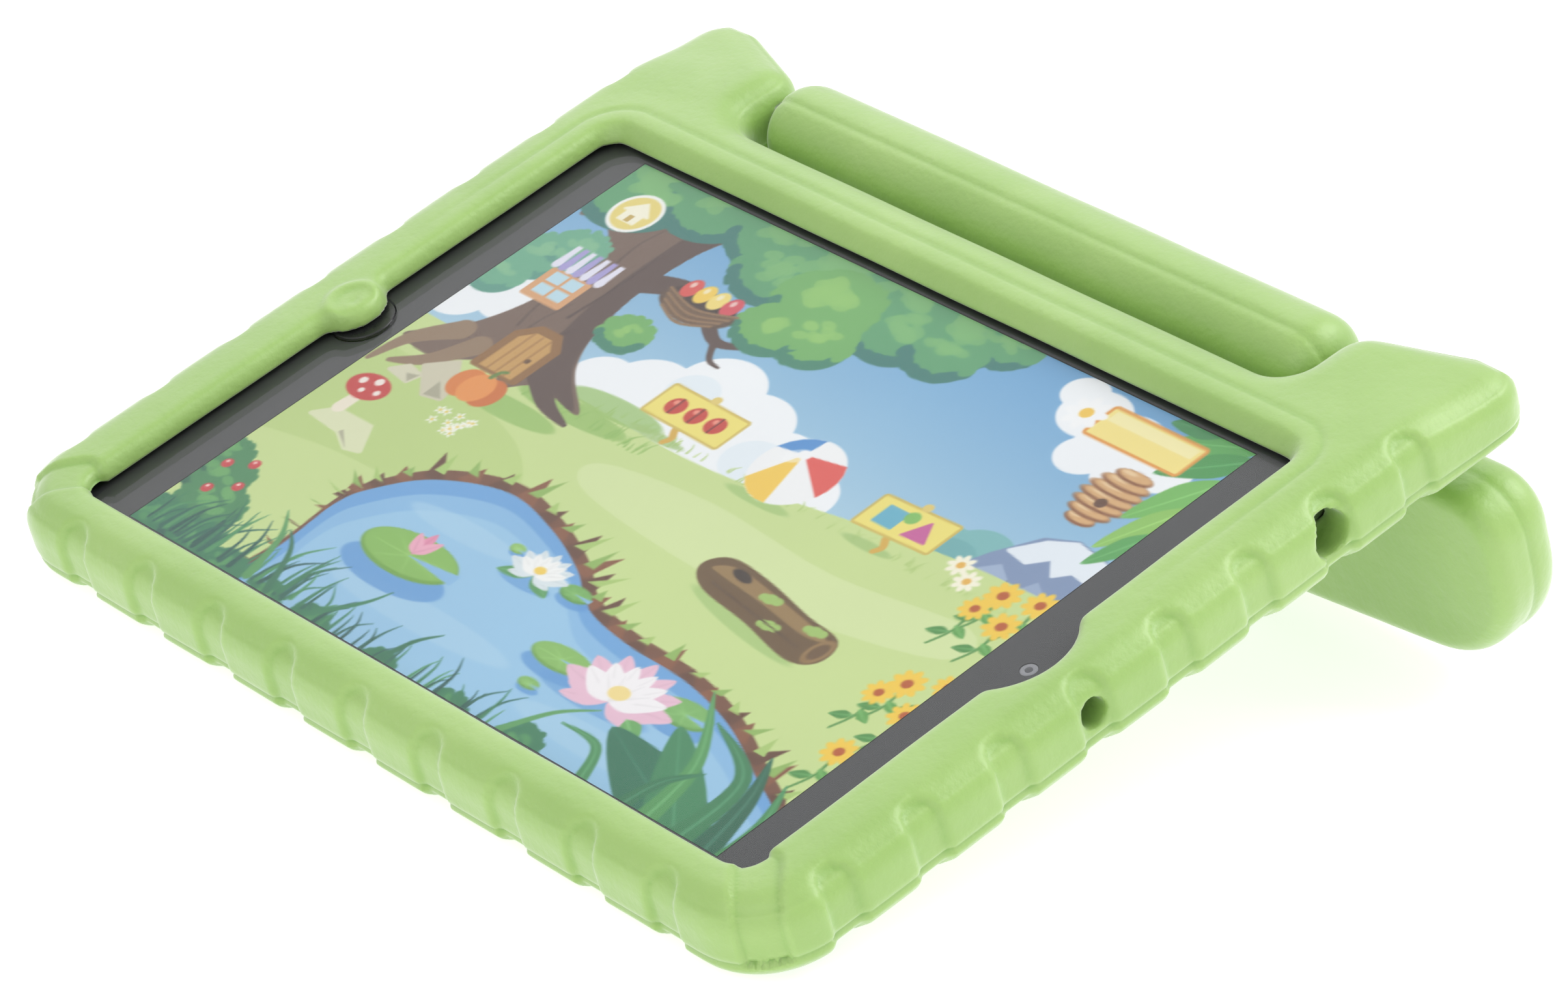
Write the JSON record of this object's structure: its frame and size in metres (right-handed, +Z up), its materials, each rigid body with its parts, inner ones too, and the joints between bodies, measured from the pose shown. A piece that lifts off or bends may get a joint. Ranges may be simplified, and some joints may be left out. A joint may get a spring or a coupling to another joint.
{
  "type": "kids tablet in a foam case",
  "caption": "Tablet computer in a thick soft foam children's case with corner ears and a swinging foam carrying handle that folds back as a stand.",
  "frame": {"origin": "centre of the footprint's bounding box, on the surface it stands on", "axes": "+X along the tablet's long side towards the front camera, +Y from the case's front edge back to the stand, +Z up; the screen leans back by 18 degrees"},
  "size_m": [0.262, 0.2226, 0.0808],
  "materials": {
    "foam": "matt moulded EVA foam with a fine skin",
    "glass_clear": "polished clear cover glass",
    "border_black": "black print seen through glass",
    "display": "lit display showing a simple picture",
    "housing_aluminium": "bead-blasted, anodised",
    "steel_bright": "brushed",
    "shield_steel": "dull tinned sheet",
    "board_green": "solder mask",
    "flex_amber": "polyimide film",
    "black_plastic": "moulded, matt",
    "battery_grey": "foil pouch",
    "adhesive_black": "foam tape",
    "button_black": "satin",
    "bush_white": "nylon",
    "lens_glass": "dark coated glass"
  },
  "bodies": {
    "case": {"antenna_lower": "flex_amber", "antenna_upper": "flex_amber", "battery_cell_left": "battery_grey", "battery_cell_right": "battery_grey", "battery_connector": "black_plastic", "board_screws": "steel_bright", "board_shield_cans": "shield_steel", "charging_port": "steel_bright", "display_flex": "flex_amber", "display_panel": "display", "display_shield": "shield_steel", "dock_flex": "flex_amber", "foam_case_back": "foam", "foam_case_front": "foam", "front_camera": "black_plastic", "front_glass": "glass_clear", "glass_adhesive": "adhesive_black", "glass_border": "border_black", "headphone_jack": "black_plastic", "hinge_bush_left": "bush_white", "hinge_bush_right": "bush_white", "home_switch": "black_plastic", "home_switch_bracket": "shield_steel", "logic_board": "board_green", "microphone": "steel_bright", "power_switch": "black_plastic", "rear_camera": "black_plastic", "rear_camera_ring": "housing_aluminium", "rear_camera_window": "lens_glass", "rear_housing": "housing_aluminium", "speaker_lower": "black_plastic", "speaker_upper": "black_plastic", "volume_switches": "black_plastic"},
    "handle": {"handle_stand": "foam", "hinge_rod": "steel_bright"},
    "home_button": {"home_button": "button_black"},
    "power_button": {"power_button": "button_black"},
    "volume_up_button": {"volume_up_button": "button_black"},
    "volume_down_button": {"volume_down_button": "button_black"}
  },
  "joints": [
    {"name": "handle_hinge", "type": "hinge", "parent": "case", "child": "handle", "pos_m": [0, 0.0778, 0.06652], "axis": [1, 0, 0], "range_deg": [-40, 110]},
    {"name": "home_button_press", "type": "slide", "parent": "case", "child": "home_button", "axis": [0, 0.309, -0.9511], "range_m": [0, 0.0004], "stiffness_N_per_m": 300},
    {"name": "power_button_press", "type": "slide", "parent": "case", "child": "power_button", "axis": [-1, 0, 0], "range_m": [0, 0.0004], "stiffness_N_per_m": 300},
    {"name": "volume_up_press", "type": "slide", "parent": "case", "child": "volume_up_button", "axis": [0, 0.9511, 0.309], "range_m": [0, 0.0004], "stiffness_N_per_m": 300},
    {"name": "volume_down_press", "type": "slide", "parent": "case", "child": "volume_down_button", "axis": [0, 0.9511, 0.309], "range_m": [0, 0.0004], "stiffness_N_per_m": 300}
  ]
}
